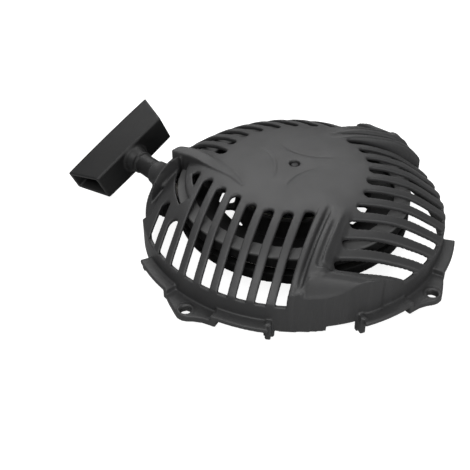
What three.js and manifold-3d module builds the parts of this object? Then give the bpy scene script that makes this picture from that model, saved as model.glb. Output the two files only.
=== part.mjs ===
// Recoil (rewind) starter for a small vertical-shaft engine.
// Units are millimetres, +Z is up, the rotor turns about the Z axis, the mounting plane is z = 0.
import * as THREE from 'three';
import { mergeVertices } from 'three/addons/utils/BufferGeometryUtils.js';
import Module from 'manifold-3d';

const wasm = await Module();
wasm.setup();

// ---- driving dimensions ----
const GAP = 0.3;                       // working gap between neighbouring pieces
const WALL = 2.6;                      // moulded wall of the housing
// Outside of the dome (radius, height) and the crest of the raised arms (distance out, height).
const DOME_LINE = [[0, 49.8], [20, 49.6], [33, 48.9], [46, 47.3], [55, 44.9], [63, 41.6],
  [71, 37.7], [78, 32.7], [85, 26.9], [90, 22.6], [93.3, 19.2], [98, 12]];
const ARM_LINE = [[20, 48.6], [38, 47.5], [52, 45.6], [60, 43.6], [68, 41], [74, 38.2], [80, 34.2], [86, 28]];
const DISC = 46;                       // radius of the plain centre of the dome
const SECTORS = [0, 120, 240];         // the vents repeat three times
const SKIRT = 93.3;                    // radius of the upright outer wall
const SLOT = { first: 22.4, pitch: 11.07, width: 6.0, outer: 99, foot: 17.7 };
const SLOT_DIR = 253.4;                // direction the vents of the first sector run in
const ARM_DIR = 250.8;                 // direction of the first arm
const FOLD_DIR = 220.8;                // the vents end on a line at right angles to this
const BOLT_R = 101.7;                  // bolt circle radius
const BOLT_ANGLES = [235.5, 323.5, 55.5, 143.5];
const BOLT_HOLE = 3.2;
const FLANGE_MID = 279.5;              // the flange is alike on both sides of this direction
const POST_R = 8;                      // centre post of the housing
const PULLEY_R = 70.8;
const ROPE_R = 1.9;
const ROPE_Z = 24.4;                   // height of the rope and of the groove
const WIND = { inner: 51.6, outer: 66, turns: 3.6 };
const LEAVE_ANGLE = 202;               // where the rope leaves the winding
const KNOT_ANGLE = 58;                 // where the rope is tied into the pulley
const PAWL = { pivot: 20, pinX: -1, pinY: -11, swing: 30, lead: -24 };
const EXIT_DIR = 137;                  // direction in which the rope is pulled
const NOZZLE_TIP = { x: -87.9, y: 21.9 };
const NOZZLE_LEN = 17;
const GRIP = { reach: 23, depth: 25, length: 71.4, inner: 57, thickOut: 16, thickIn: 20, wall: 2.4 };
const GRIP_ROLL = -24.2;               // the handle rests turned about the rope by this much

const PLASTIC = { color: 0x2b2b2d, roughness: 0.55, metalness: 0.0 };
const DARK = { color: 0x1d1d1f, roughness: 0.6, metalness: 0.0 };
const STEEL = { color: 0x9a9c9f, roughness: 0.35, metalness: 0.9 };
const SPRING_STEEL = { color: 0x55585c, roughness: 0.4, metalness: 0.85 };
const ROPE = { color: 0x8d8a80, roughness: 0.95, metalness: 0.0 };

// ---- small helpers ----
const rad = (degrees) => degrees * Math.PI / 180;

function solid(geometry) {
  geometry.deleteAttribute('normal');
  geometry.deleteAttribute('uv');
  const merged = mergeVertices(geometry, 1e-4);
  return new wasm.Manifold(new wasm.Mesh({
    numProp: 3,
    vertProperties: new Float32Array(merged.attributes.position.array),
    triVerts: new Uint32Array(merged.index.array),
  }));
}

function geometryOf(body) {
  const mesh = body.getMesh();
  const geometry = new THREE.BufferGeometry();
  geometry.setAttribute('position', new THREE.BufferAttribute(mesh.vertProperties, 3));
  geometry.setIndex(new THREE.BufferAttribute(mesh.triVerts, 1));
  geometry.computeVertexNormals();
  return geometry;
}

const polar = (r, degrees) => [r * Math.cos(rad(degrees)), r * Math.sin(rad(degrees))];

// A closed (radius, height) outline, anticlockwise, turned about the Z axis.
function turned(profile, segments = 48) {
  const points = profile.map(([r, z]) => new THREE.Vector2(r, z));
  if (profile[0][0] > 0 || profile[profile.length - 1][0] > 0) {
    points.push(points[0].clone());
  }
  const lathe = new THREE.LatheGeometry(points, segments);
  return solid(lathe.rotateX(Math.PI / 2));
}

function prism(outline, z0, z1) {
  const shape = new THREE.Shape(outline.map(([x, y]) => new THREE.Vector2(x, y)));
  const block = new THREE.ExtrudeGeometry(shape, { depth: z1 - z0, bevelEnabled: false });
  return solid(block.translate(0, 0, z0));
}

function disc(radius, z0, z1, segments = 32) {
  return turned([[0, z0], [radius, z0], [radius, z1], [0, z1]], segments);
}

function sectorOutline(r0, r1, from, to, step = 4) {
  const count = Math.max(1, Math.round((to - from) / step));
  const outer = [];
  const inner = [];
  for (let i = 0; i <= count; i += 1) {
    const a = from + (to - from) * i / count;
    outer.push(polar(r1, a));
    inner.unshift(polar(r0, a));
  }
  return outer.concat(inner);
}

const sector = (r0, r1, from, to, z0, z1) => prism(sectorOutline(r0, r1, from, to), z0, z1);

// A point given along a direction and along the one 90 degrees further round.
function local(along, across, direction) {
  const [ax, ay] = polar(along, direction);
  const [bx, by] = polar(across, direction + 90);
  return [ax + bx, ay + by];
}

const localPrism = (points, direction, z0, z1) => prism(
  points.map(([along, across]) => local(along, across, direction)), z0, z1);

// Flat ring-ended slot between two distances along a direction.
function slotOutline(from, to, across, width, direction) {
  const r = width / 2;
  const points = [];
  for (let i = 0; i <= 3; i += 1) {
    const a = rad(-90 + 60 * i);
    points.push(local(to - r + r * Math.cos(a), across + r * Math.sin(a), direction));
  }
  for (let i = 0; i <= 3; i += 1) {
    const a = rad(90 + 60 * i);
    points.push(local(from + r + r * Math.cos(a), across + r * Math.sin(a), direction));
  }
  return points;
}

function union(parts) {
  return parts.reduce((sum, part) => sum.add(part));
}

// Turns a body built about Z so that its axis lies along the rope, its zero at the nozzle tip.
function alongRope(body) {
  return body.rotate([0, 90, 0]).rotate([0, 0, EXIT_DIR])
    .translate([NOZZLE_TIP.x, NOZZLE_TIP.y, ROPE_Z]);
}

// Wire or strip swept along a curve.
function swept(points, outline, steps) {
  const path = new THREE.CatmullRomCurve3(points.map(([x, y, z]) => new THREE.Vector3(x, y, z)));
  const shape = new THREE.Shape(outline.map(([x, y]) => new THREE.Vector2(x, y)));
  return solid(new THREE.ExtrudeGeometry(shape, { steps, bevelEnabled: false, extrudePath: path }));
}

function ringOutline(radius, sides) {
  const points = [];
  for (let i = 0; i < sides; i += 1) {
    points.push(polar(radius, 360 * i / sides));
  }
  return points;
}

// ---- housing ----
// Outline of the dome moved inwards by a distance, closed at a level below.
function domeProfile(shrink, foot) {
  const line = DOME_LINE.map(([r, z], i) => {
    const [r0, z0] = DOME_LINE[Math.max(i - 1, 0)];
    const [r1, z1] = DOME_LINE[Math.min(i + 1, DOME_LINE.length - 1)];
    const length = Math.hypot(r1 - r0, z1 - z0);
    const side = i === 0 ? 0 : shrink * (z0 - z1) / length;
    return [r - side, z - (i === 0 ? shrink : shrink * (r1 - r0) / length)];
  });
  const edge = line[line.length - 1][0];
  return [[0, foot], [edge, foot], ...line.reverse()];
}

function vents() {
  const cuts = [];
  const foldAngle = rad(SLOT_DIR - FOLD_DIR);
  for (const turn of SECTORS) {
    const direction = SLOT_DIR + turn;
    for (let k = 0; k <= 9; k += 1) {
      const across = SLOT.first - SLOT.pitch * k;
      const fold = (DISC + across * Math.sin(foldAngle)) / Math.cos(foldAngle);
      const round = k < 5 ? Math.sqrt(DISC ** 2 - across ** 2) : fold;
      const outer = Math.sqrt(SLOT.outer ** 2 - across ** 2);
      let ranges = [[round + 0.6, outer]];
      if (turn === 0 && k === 7) ranges = [[round + 0.6, 32], [54.6, outer]];
      if (turn === 0 && k === 8) ranges = [[40.3, outer]];
      if (turn === 0 && k === 9) ranges = [];
      for (const [from, to] of ranges) {
        const outline = slotOutline(from, to, across, SLOT.width, direction);
        cuts.push(prism(outline, SLOT.foot, 60));
      }
    }
  }
  return union(cuts);
}

const ventCuts = vents();

// Everything of the dome beyond the last vent of a sector.
function beyond(turn, distance, from, to) {
  const outline = [[from, -distance], [to, -distance], [to, -110], [from, -110]];
  return localPrism(outline, SLOT_DIR + turn, 12, 60);
}

// A block standing on an arm: its outline in plan under a roof line, both along the arm.
function armBlock(direction, plan, roof, floor) {
  const section = roof.slice().reverse().concat(floor);
  const block = prism(section, -50, -24).rotate([90, 0, 0]).rotate([0, 0, direction]);
  return block.intersect(localPrism(plan, direction, 0, 60));
}

function raisedArm(turn) {
  const inner = ARM_LINE.map(([t, z]) => [Math.min(t, 83.4), z - WALL - 0.6]);
  const direction = ARM_DIR + turn;
  const plan = [[20, 28.2], [86, 29.8], [86, 36.4], [77, 42], [20, 42]];
  const room = [[20, 30.8], [83.4, 32.4], [83.4, 34], [75, 39.4], [20, 39.4]];
  return {
    block: armBlock(direction, plan, ARM_LINE, [[20, 40], [86, 14]]),
    hollow: armBlock(direction, room, inner, [[20, 38], [83.4, 12]]),
  };
}

// Roof of the rope outlet: distance along its arm against its two edges.
const HOOD_EDGES = [[4, 35, 38], [18, 32.6, 38.6], [31, 31.9, 40.2], [44, 32.1, 41.6],
  [53, 34.5, 44], [61.6, 40.6, 47.2]];

function hood() {
  // it stays nearly level while the dome falls away below it
  const direction = ARM_DIR - 120;
  const plan = (rows, inset) => {
    const upper = rows.map(([t, near]) => [t, near + inset]);
    const lower = rows.map(([t, , far]) => [t, far - inset]).reverse();
    return upper.concat(lower);
  };
  const roof = [[4, 48.9], [25, 48.2], [44, 47.2], [61.6, 46.4]];
  const inner = [[26, 45.6], [44, 44.8], [59, 44]];
  const rows = [[26, 32.2, 39.6], ...HOOD_EDGES.slice(2, 5), [59, 38.8, 46.4]];
  return {
    block: armBlock(direction, plan(HOOD_EDGES, 0), roof, [[4, 40], [61.6, 16]]),
    hollow: armBlock(direction, plan(rows, 2.2), inner, [[26, 30], [59, 12]]),
  };
}

// Upright rib behind the vents of the rear sector.
function guardRib() {
  return sector(79.4, 81.6, 96, 158, 22, 44).intersect(turned(domeProfile(1, -1), 54));
}

function nozzle() {
  const profile = [[0, -NOZZLE_LEN], [15.5, -NOZZLE_LEN], [13.2, -14], [10.8, -11],
    [9, -7], [8.1, -3], [7.8, 0], [0, 0]];
  return alongRope(turned(profile, 32));
}

// Plate of one ear: distance round from the middle of the flange against radius.
const EAR_EDGE = [[33.8, 101.2], [37.5, 101.8], [40, 103.6], [42, 106.2], [44, 107.2],
  [46, 106.6], [51, 102.6], [54, 100.5]];

function ear(middle, side) {
  const outer = EAR_EDGE.map(([offset, r]) => polar(r, middle + side * offset));
  const inner = [54, 47, 40, 33.8].map((offset) => polar(91, middle + side * offset));
  const outline = outer.concat(inner);
  if (side < 0) outline.reverse();
  return prism(outline, 0, 5);
}

function flange() {
  const parts = [];
  for (const side of [-1, 1]) {
    const band = (r0, r1, from, to, z0, z1) => {
      const ends = [FLANGE_MID + side * from, FLANGE_MID + side * to];
      return sector(r0, r1, Math.min(...ends), Math.max(...ends), z0, z1);
    };
    parts.push(ear(FLANGE_MID, side));
    parts.push(ear(FLANGE_MID + 180, side));
    parts.push(band(91, 100.5, 53.8, 72, 4.6, 8.4));
    parts.push(band(91, 95.5, 53.8, 72, 0, 5));
    parts.push(band(97, 99.4, 70, 72, 1.6, 5));
    parts.push(band(91, 101, 16, 34.4, 4, 8));
    parts.push(band(91, 97.4, 14.9, 16.9, -3.6, 8.6));
  }
  return union(parts);
}

function insideRibs() {
  // rings under the roof that locate the spring keeper and stiffen the post
  const collar = turned([[14, 42], [16.2, 42], [16.2, 47.6], [14, 47.6]], 40);
  const webs = [];
  for (let i = 0; i < 6; i += 1) {
    webs.push(localPrism([[9, -0.9], [15, -0.9], [15, 0.9], [9, 0.9]], 60 * i, 43, 47.8));
  }
  return union([collar, ...webs]);
}

function buildHousing() {
  const domeInner = turned(domeProfile(WALL, -1), 54);
  const lowered = turned(domeProfile(2, -1), 54);
  const raised = [hood(), raisedArm(0), raisedArm(120)];
  const skirtOuter = disc(SKIRT, -2, 60, 54);
  const skirtInner = disc(SKIRT - WALL, -2, 60, 54);
  const outletSide = beyond(0, 75, -14, 44);
  let solidDome = turned(domeProfile(0, 0), 54).intersect(skirtOuter);
  solidDome = solidDome.subtract(outletSide.subtract(lowered));
  const seat = beyond(0, 72.4, -16, 46);
  const thinner = domeInner.subtract(seat).add(turned(domeProfile(WALL + 2, -1), 54));
  const outside = solidDome.add(union(raised.map(({ block }) => block)));
  const cavity = thinner.add(union(raised.map(({ hollow }) => hollow)));
  let shell = outside.subtract(cavity.intersect(skirtInner));
  shell = shell.subtract(ventCuts);
  shell = shell.subtract(sector(66.8, 71.2, 168, 203, 30, 45));
  shell = shell.add(guardRib());
  shell = shell.add(nozzle().subtract(turned([[0, -1], [72.6, -1], [72.6, 60], [0, 60]], 54)));
  shell = shell.add(flange().subtract(skirtInner));
  shell = shell.add(disc(POST_R, 12.5, 48.4));
  shell = shell.add(disc(11, 21.6, 48, 32));
  shell = shell.subtract(localPrism([[8.6, -2], [12, -3.6], [12, 1.2], [8.6, 1.2]], 0, 21, 33.4));
  shell = shell.add(insideRibs());
  shell = shell.subtract(disc(2.7, 10, 48.2, 24));
  shell = shell.subtract(disc(2.9, 48.1, 51, 24));
  // bore and counterbore of the rope outlet
  shell = shell.subtract(alongRope(disc(6.3, -24, -6.6, 24)));
  shell = shell.subtract(alongRope(disc(3.4, -8, 1, 24)));
  shell = shell.subtract(alongRope(disc(8.2, 0, 24, 24)));
  for (const angle of BOLT_ANGLES) {
    const [x, y] = polar(BOLT_R, angle);
    shell = shell.subtract(disc(BOLT_HOLE, -1, 6, 20).translate([x, y, 0]));
    shell = shell.subtract(disc(5.2, 4.3, 6, 20).translate([x, y, 0]));
  }
  return shell;
}

// ---- pulley, spring and rope ----
const WINDOWS = { count: 10, first: 24, half: 14.5 };

function buildPulley() {
  const rim = turned([[46.6, 17], [61, 17], [61, 15.5], [PULLEY_R, 15.5], [PULLEY_R, 22.1],
    [49, 22.1], [49, 26.7], [PULLEY_R, 26.7], [PULLEY_R, 34.3], [61, 34.3], [61, 29.2], [46.6, 29.2]], 44);
  const web = turned([[8.3, 12.8], [33.6, 12.8], [35.6, 17], [47.6, 17], [47.6, 20],
    [35.6, 20], [35.6, 33], [33.6, 33], [33.6, 20], [8.3, 20]], 40);
  let pulley = rim.add(web);
  for (let i = 0; i < WINDOWS.count; i += 1) {
    const middle = WINDOWS.first + 360 * i / WINDOWS.count;
    const opening = sector(36.4, 46, middle - WINDOWS.half, middle + WINDOWS.half, 10, 22);
    pulley = pulley.subtract(opening);
  }
  for (const angle of [0, 180]) {
    const [x, y] = polar(PAWL.pivot, angle);
    pulley = pulley.add(disc(2.5, 8.4, 13, 16).translate([x, y, 0]));
  }
  // hole through the core for the tied end of the rope
  const hole = disc(2.3, 40, 52, 12).rotate([0, 90, 0]).rotate([0, 0, KNOT_ANGLE]);
  return pulley.subtract(hole.translate([0, 0, ROPE_Z]));
}

function buildKeeper() {
  const profile = [[12.2, 20.3], [33.3, 20.3], [33.3, 33.4], [32.5, 33.4], [32.5, 21.3], [12.2, 21.3]];
  const cup = turned(profile, 40);
  return cup.subtract(localPrism([[31, -1.2], [34.5, -1.2], [34.5, 1.2], [31, 1.2]], 0, 21.9, 34));
}

function buildSpring() {
  const points = [[9.4, 0.2, 27.3], [11.4, 0.1, 27.3]];
  const turns = 9;
  for (let i = 1; i <= turns * 20; i += 1) {
    const share = i / (turns * 20);
    const [x, y] = polar(12.3 + 19.2 * share, -360 * turns * share);
    points.push([x, y, 27.3]);
  }
  points.push([33, -0.1, 27.3]);
  const outline = [[-5.2, -0.3], [5.2, -0.3], [5.2, 0.3], [-5.2, 0.3]];
  return swept(points, outline, turns * 22);
}

function buildCoil() {
  const points = [];
  const count = Math.round(WIND.turns * 24);
  for (let i = 0; i <= count; i += 1) {
    const share = i / count;
    const angle = LEAVE_ANGLE + 360 * WIND.turns * (1 - share);
    const [x, y] = polar(WIND.inner + (WIND.outer - WIND.inner) * share, angle);
    points.push([x, y, ROPE_Z]);
  }
  return swept(points, ringOutline(ROPE_R, 8), count);
}

function buildStrand() {
  const exit = [Math.cos(rad(EXIT_DIR)), Math.sin(rad(EXIT_DIR))];
  const along = (t) => [NOZZLE_TIP.x + exit[0] * t, NOZZLE_TIP.y + exit[1] * t, ROPE_Z];
  const start = polar(WIND.outer, LEAVE_ANGLE - 0.6);
  const mouth = along(-NOZZLE_LEN - 1);
  const step = (share) => [start[0] + (mouth[0] - start[0]) * share,
    start[1] + (mouth[1] - start[1]) * share, ROPE_Z];
  const points = [step(0), step(0.3), step(0.6), step(0.88), along(-NOZZLE_LEN + 2.5),
    along(-10), along(0), along(10), along(20), along(GRIP.reach + 4.4)];
  return swept(points, ringOutline(ROPE_R, 8), 28);
}

function ball(radius, z) {
  const profile = [];
  for (let i = 0; i <= 8; i += 1) {
    const a = rad(-90 + 22.5 * i);
    profile.push([i % 8 === 0 ? 0 : radius * Math.cos(a), z + radius * Math.sin(a)]);
  }
  return turned(profile, 14);
}

function buildPulleyKnot() {
  const knot = ball(3.4, 42.4).add(disc(ROPE_R, 42, 48.7, 8));
  return knot.rotate([0, 90, 0]).rotate([0, 0, KNOT_ANGLE]).translate([0, 0, ROPE_Z]);
}

function buildOutletBush() {
  return alongRope(turned([[2.6, -15], [3.4, -15.8], [5, -15.8], [6, -15],
    [6, -7], [2.6, -7]], 24));
}

// ---- pawl drive under the pulley ----
function pawlPin(angle) {
  // position of the drive pin when the pawl has swung out by the given angle
  const c = Math.cos(rad(angle));
  const s = Math.sin(rad(angle));
  return [PAWL.pivot + PAWL.pinX * c - PAWL.pinY * s, PAWL.pinX * s + PAWL.pinY * c];
}

function buildPawl(turn) {
  const outline = [];
  for (let i = 0; i <= 8; i += 1) {
    const [x, y] = polar(4.4, 10 + 22 * i);
    outline.push([PAWL.pivot + x, y]);
  }
  outline.push([14.8, -4], [15, -14], [15.4, -21.4], [19.6, -20.4], [22.6, -12], [24.6, -3]);
  const [px, py] = pawlPin(0);
  return prism(outline, 8.4, 11.1)
    .subtract(disc(2.8, 7, 14, 16).translate([PAWL.pivot, 0, 0]))
    .add(disc(1.3, 5.8, 9, 10).translate([px, py, 0]))
    .rotate([0, 0, turn]);
}

function buildPawlSpring(turn) {
  // hairpin around the pivot, one leg against the pawl and one on the pulley
  const points = [];
  for (let i = 0; i <= 20; i += 1) {
    const [x, y] = polar(3.4, 60 + 16 * i);
    points.push([PAWL.pivot + x, y, 11.7 + 0.5 * i / 20]);
  }
  const last = points[points.length - 1];
  points.push([last[0] + 2.5, last[1] - 4, 12.2]);
  return swept(points, ringOutline(0.3, 5), 26).rotate([0, 0, turn]);
}

function buildGuidePlate() {
  const outline = [];
  for (let i = 0; i < 48; i += 1) {
    const lobe = 0.5 + 0.5 * Math.cos(rad(2 * (7.5 * i + 30)));
    outline.push(polar(15 + 14 * lobe ** 2, 7.5 * i));
  }
  let plate = prism(outline, 5.5, 7.6).add(disc(7.4, 5.5, 10.6, 32));
  for (const turn of [0, 180]) {
    const steps = 10;
    for (let i = 0; i <= steps; i += 1) {
      const [x, y] = pawlPin(PAWL.swing * i / steps);
      const cut = disc(1.9, 4, 9, 12).translate([x, y, 0]);
      plate = plate.subtract(cut.rotate([0, 0, turn + PAWL.lead * i / steps]));
    }
  }
  return plate.subtract(disc(3, 4, 12, 24));
}

function buildBrakeSpring() {
  const points = [];
  for (let i = 0; i <= 30; i += 1) {
    const [x, y] = polar(8.4, 100 + 10.4 * i);
    points.push([x, y, 9.1]);
  }
  points.push([...polar(12.2, 60), 9.1]);
  return swept(points, ringOutline(0.6, 6), 30);
}

const washer = (inner, outer, z0, z1) => turned(
  [[inner, z0], [outer, z0], [outer, z1], [inner, z1]], 32);

function buildScrew() {
  const hexagon = prism(ringOutline(5.6, 6), 0, 3.4);
  const flangeRing = disc(6.6, 2.4, 3.8, 28);
  return hexagon.add(flangeRing).add(disc(2.4, 3.6, 49, 20));
}

// ---- pull handle ----
// Built with the rope along +X, the bar along Y, and its inner face at x = 0.
function gripSection(inset) {
  const x0 = inset;
  const x1 = GRIP.depth - inset;
  const inner = GRIP.thickIn / 2 - inset;
  const outer = GRIP.thickOut / 2 - inset;
  const c = 1.6;
  return [[x0 + c, -inner], [x1 - c, -outer], [x1, -outer + c], [x1, outer - c],
    [x1 - c, outer], [x0 + c, inner], [x0, inner - c], [x0, -inner + c]];
}

function buildGrip() {
  const bar = (inset) => prism(gripSection(inset), -45, 45).rotate([90, 0, 0]);
  const ends = prism([[-1, -GRIP.inner / 2], [GRIP.depth + 1, -GRIP.length / 2 - 0.6],
    [GRIP.depth + 1, GRIP.length / 2 + 0.6], [-1, GRIP.inner / 2]], -20, 20);
  const stem = turned([[0, -GRIP.reach + GAP], [7.2, -GRIP.reach + GAP], [6.6, -19], [6.6, -8],
    [8, -6.5], [8.2, 0.5], [0, 0.5]], 28).rotate([0, 90, 0]);
  const grip = bar(0).intersect(ends).subtract(bar(GRIP.wall)).add(stem);
  const bore = disc(2.3, -40, 5, 16).rotate([0, 90, 0]);
  return onGrip(grip.subtract(bore));
}

function onGrip(body) {
  const [dx, dy] = polar(GRIP.reach, EXIT_DIR);
  return body.rotate([GRIP_ROLL, 0, 0]).rotate([0, 0, EXIT_DIR])
    .translate([NOZZLE_TIP.x + dx, NOZZLE_TIP.y + dy, ROPE_Z]);
}

const buildGripWasher = () => onGrip(washer(2.3, 6, 2.8, 4).rotate([0, 90, 0]));

const buildGripKnot = () => onGrip(ball(3.9, 8.7).rotate([0, 90, 0]));

// ---- assembly ----
const group = new THREE.Group();
group.name = 'recoil_starter';

function place(name, body, look) {
  const mesh = new THREE.Mesh(geometryOf(body), new THREE.MeshStandardMaterial(look));
  mesh.name = name;
  group.add(mesh);
}

place('starter_housing', buildHousing(), PLASTIC);
place('outlet_bush', buildOutletBush(), STEEL);
place('rope_pulley', buildPulley(), DARK);
place('spring_keeper', buildKeeper(), STEEL);
place('recoil_spring', buildSpring(), SPRING_STEEL);
place('thrust_washer', washer(8.3, 11.6, 20.3, 21.3), STEEL);
place('rope_coil', buildCoil(), ROPE);
place('rope_strand', buildStrand(), ROPE);
place('rope_knot_pulley', buildPulleyKnot(), ROPE);
place('rope_knot_grip', buildGripKnot(), ROPE);
place('pawl_a', buildPawl(0), STEEL);
place('pawl_b', buildPawl(180), STEEL);
place('pawl_spring_a', buildPawlSpring(0), SPRING_STEEL);
place('pawl_spring_b', buildPawlSpring(180), SPRING_STEEL);
place('pawl_guide_plate', buildGuidePlate(), DARK);
place('brake_spring', buildBrakeSpring(), SPRING_STEEL);
place('friction_washer', washer(2.8, 12, 11.1, 12.2), STEEL);
place('flat_washer', washer(2.8, 9, 4.1, 5.2), STEEL);
place('retaining_screw', buildScrew(), STEEL);
place('grip', buildGrip(), PLASTIC);
place('grip_washer', buildGripWasher(), STEEL);

export default group;
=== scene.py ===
"""Looks of the recoil starter: moulded housing, pulley, rope, pawl drive and pull handle."""
import bpy
import math
import numpy as np
from mathutils import Matrix, Vector


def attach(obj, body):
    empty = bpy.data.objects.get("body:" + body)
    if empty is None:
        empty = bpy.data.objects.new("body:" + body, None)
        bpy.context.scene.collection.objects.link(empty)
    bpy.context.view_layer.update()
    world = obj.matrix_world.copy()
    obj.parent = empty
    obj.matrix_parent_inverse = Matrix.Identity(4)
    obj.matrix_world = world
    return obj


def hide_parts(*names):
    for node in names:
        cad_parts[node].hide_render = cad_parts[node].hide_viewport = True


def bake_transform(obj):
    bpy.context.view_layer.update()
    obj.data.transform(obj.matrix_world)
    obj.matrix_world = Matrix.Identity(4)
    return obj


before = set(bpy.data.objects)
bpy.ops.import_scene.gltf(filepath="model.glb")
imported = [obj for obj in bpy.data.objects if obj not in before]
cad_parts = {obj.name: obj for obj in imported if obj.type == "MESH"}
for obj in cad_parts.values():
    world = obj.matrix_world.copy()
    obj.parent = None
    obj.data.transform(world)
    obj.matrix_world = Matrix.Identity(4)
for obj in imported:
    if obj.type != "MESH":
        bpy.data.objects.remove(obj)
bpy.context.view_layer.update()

MM = 0.001

# ---- dimensions in millimetres, the same as in the CAD model ----
WALL = 2.6
DOME_LINE = ((0, 49.8), (20, 49.6), (33, 48.9), (46, 47.3), (55, 44.9), (63, 41.6), (71, 37.6),
             (78, 32.6), (85, 26.8), (90, 22.6), (93.3, 19.2), (97, 14))
ARM_LINE = ((20, 49.2), (30, 48.4), (38, 47.5), (44, 46.9), (52, 45.6), (60, 43.6), (68, 41), (74, 38.2),
            (78, 35.8), (82, 32.4), (86, 28), (89, 24.5), (96, 14))
SHOULDER_LINE = ((-20, 30), (-12, 35), (-4, 36), (8, 34), (20, 31), (32, 28), (44, 24), (60, 10))
DISC_R, VENT_START = 46.0, 44.2
SKIRT_R = 93.3
VENT_FIRST, VENT_PITCH, VENT_HALF, VENT_FOOT = 22.4, 11.07, 3.0, 17.7
VENT_DIR = 253.4
ARM_DIR = 250.8
FOLD_DIR = 220.8
BOLT_R = 101.7
BOLT_ANGLES = (235.5, 323.5, 55.5, 143.5)
FLANGE_MID = 279.5
POST_R = 8.0
ROPE_R = 1.9
ROPE_Z = 24.4
EXIT_DIR = 137.0
NOZZLE_TIP = (-87.9, 21.9)
GRIP_REACH, GRIP_DEPTH, GRIP_LENGTH, GRIP_INNER = 23.0, 25.4, 73.0, 58.2
GRIP_OUT, GRIP_IN, GRIP_WALL = 16.0, 20.0, 2.2
GRIP_ROLL = -24.2


def rad(degrees):
    return math.radians(degrees)


def direction(degrees):
    return math.cos(rad(degrees)), math.sin(rad(degrees))


# ---- distance fields: negative inside, millimetres ----
def smin(a, b, k):
    h = np.maximum(k - np.abs(a - b), 0) / k
    return np.minimum(a, b) - h * h * (k * 0.25)


def smax(a, b, k):
    return -smin(-a, -b, k)


def ramp(value, start, end):
    t = np.clip((value - start) / (end - start), 0, 1)
    return t * t * (3 - 2 * t)


def hump(value, centre, half):
    return 1 - ramp(np.abs(value - centre), half * 0.35, half)


def segment(x, y, a, b):
    dx, dy = b[0] - a[0], b[1] - a[1]
    t = np.clip(((x - a[0]) * dx + (y - a[1]) * dy) / (dx * dx + dy * dy), 0, 1)
    return np.hypot(x - a[0] - t * dx, y - a[1] - t * dy)


def polygon(x, y, points):
    """Signed distance to a closed outline."""
    distance = None
    inside = np.zeros(np.broadcast(x, y).shape, bool)
    for a, b in zip(points, points[1:] + points[:1]):
        d = segment(x, y, a, b)
        distance = d if distance is None else np.minimum(distance, d)
        if a[1] != b[1]:
            cross = (a[1] > y) != (b[1] > y)
            inside ^= cross & (x < (b[0] - a[0]) * (y - a[1]) / (b[1] - a[1]) + a[0])
    return np.where(inside, -distance, distance).astype(np.float32)


def between(value, low, high):
    return np.maximum(low - value, value - high)


def slab(flat, z, low, high, k=0.8):
    """A plan outline between two heights, with softened edges."""
    return smax(flat, between(z, low, high), k)


def grid(low, high, step):
    axes = [np.arange(a, b + step, step, dtype=np.float32) for a, b in zip(low, high)]
    x = axes[0][:, None, None]
    y = axes[1][None, :, None]
    z = axes[2][None, None, :]
    return axes, x, y, z


def surface(axes, field):
    """Vertices and quads of the zero level of a field, one vertex in each crossed cell."""
    inside = field < 0
    count = np.zeros([n - 1 for n in field.shape], np.int8)
    corners = [(i, j, k) for i in (0, 1) for j in (0, 1) for k in (0, 1)]
    nx, ny, nz = count.shape
    for i, j, k in corners:
        count += inside[i:i + nx, j:j + ny, k:k + nz]
    cells = np.argwhere((count > 0) & (count < 8))
    ids = np.full(count.shape, -1, np.int32)
    ids[tuple(cells.T)] = np.arange(len(cells))
    values = np.stack([field[tuple((cells + c).T)] for c in corners], 1)
    total = np.zeros((len(cells), 3))
    hits = np.zeros(len(cells))
    for a in range(8):
        for b in range(a + 1, 8):
            step = np.array(corners[b]) - np.array(corners[a])
            if np.abs(step).sum() != 1:
                continue
            crossed = (values[:, a] < 0) != (values[:, b] < 0)
            t = values[crossed, a] / (values[crossed, a] - values[crossed, b])
            total[crossed] += np.array(corners[a]) + t[:, None] * step
            hits[crossed] += 1
    step = axes[0][1] - axes[0][0]
    origin = np.array([axis[0] for axis in axes])
    vertices = origin + (cells + total / hits[:, None]) * step
    quads = []
    for axis in range(3):
        low = [slice(None)] * 3
        high = [slice(None)] * 3
        low[axis], high[axis] = slice(None, -1), slice(1, None)
        change = inside[tuple(low)] != inside[tuple(high)]
        at = np.argwhere(change)
        u, v = [n for n in range(3) if n != axis]
        keep = (at[:, u] > 0) & (at[:, v] > 0) & (at[:, u] < count.shape[u]) & (at[:, v] < count.shape[v])
        at = at[keep]
        ring = []
        for du, dv in ((1, 1), (0, 1), (0, 0), (1, 0)):
            cell = at.copy()
            cell[:, u] -= du
            cell[:, v] -= dv
            ring.append(ids[tuple(cell.T)])
        quad = np.stack(ring, 1)
        flip = inside[tuple(at.T)] if axis != 1 else ~inside[tuple(at.T)]
        quad[~flip] = quad[~flip][:, ::-1]
        quads.append(quad)
    return vertices, np.concatenate(quads)


def mesh_object(name, vertices, faces, scale=MM):
    mesh = bpy.data.meshes.new(name)
    vertices = np.asarray(vertices, np.float32) * scale
    if isinstance(faces, np.ndarray):
        sides = faces.shape[1]
        mesh.vertices.add(len(vertices))
        mesh.vertices.foreach_set("co", vertices.ravel())
        mesh.loops.add(faces.size)
        mesh.loops.foreach_set("vertex_index", faces.astype(np.int32).ravel())
        mesh.polygons.add(len(faces))
        mesh.polygons.foreach_set("loop_start", np.arange(0, faces.size, sides, dtype=np.int32))
        mesh.update(calc_edges=True)
    else:
        mesh.from_pydata(vertices.tolist(), [], faces)
        mesh.update()
    obj = bpy.data.objects.new(name, mesh)
    bpy.context.scene.collection.objects.link(obj)
    return obj


def smooth(obj):
    obj.data.polygons.foreach_set("use_smooth", [True] * len(obj.data.polygons))
    return obj


def apply_modifiers(obj):
    bpy.context.view_layer.update()
    ready = obj.evaluated_get(bpy.context.evaluated_depsgraph_get())
    mesh = bpy.data.meshes.new_from_object(ready)
    obj.modifiers.clear()
    obj.data = mesh
    return obj


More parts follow.
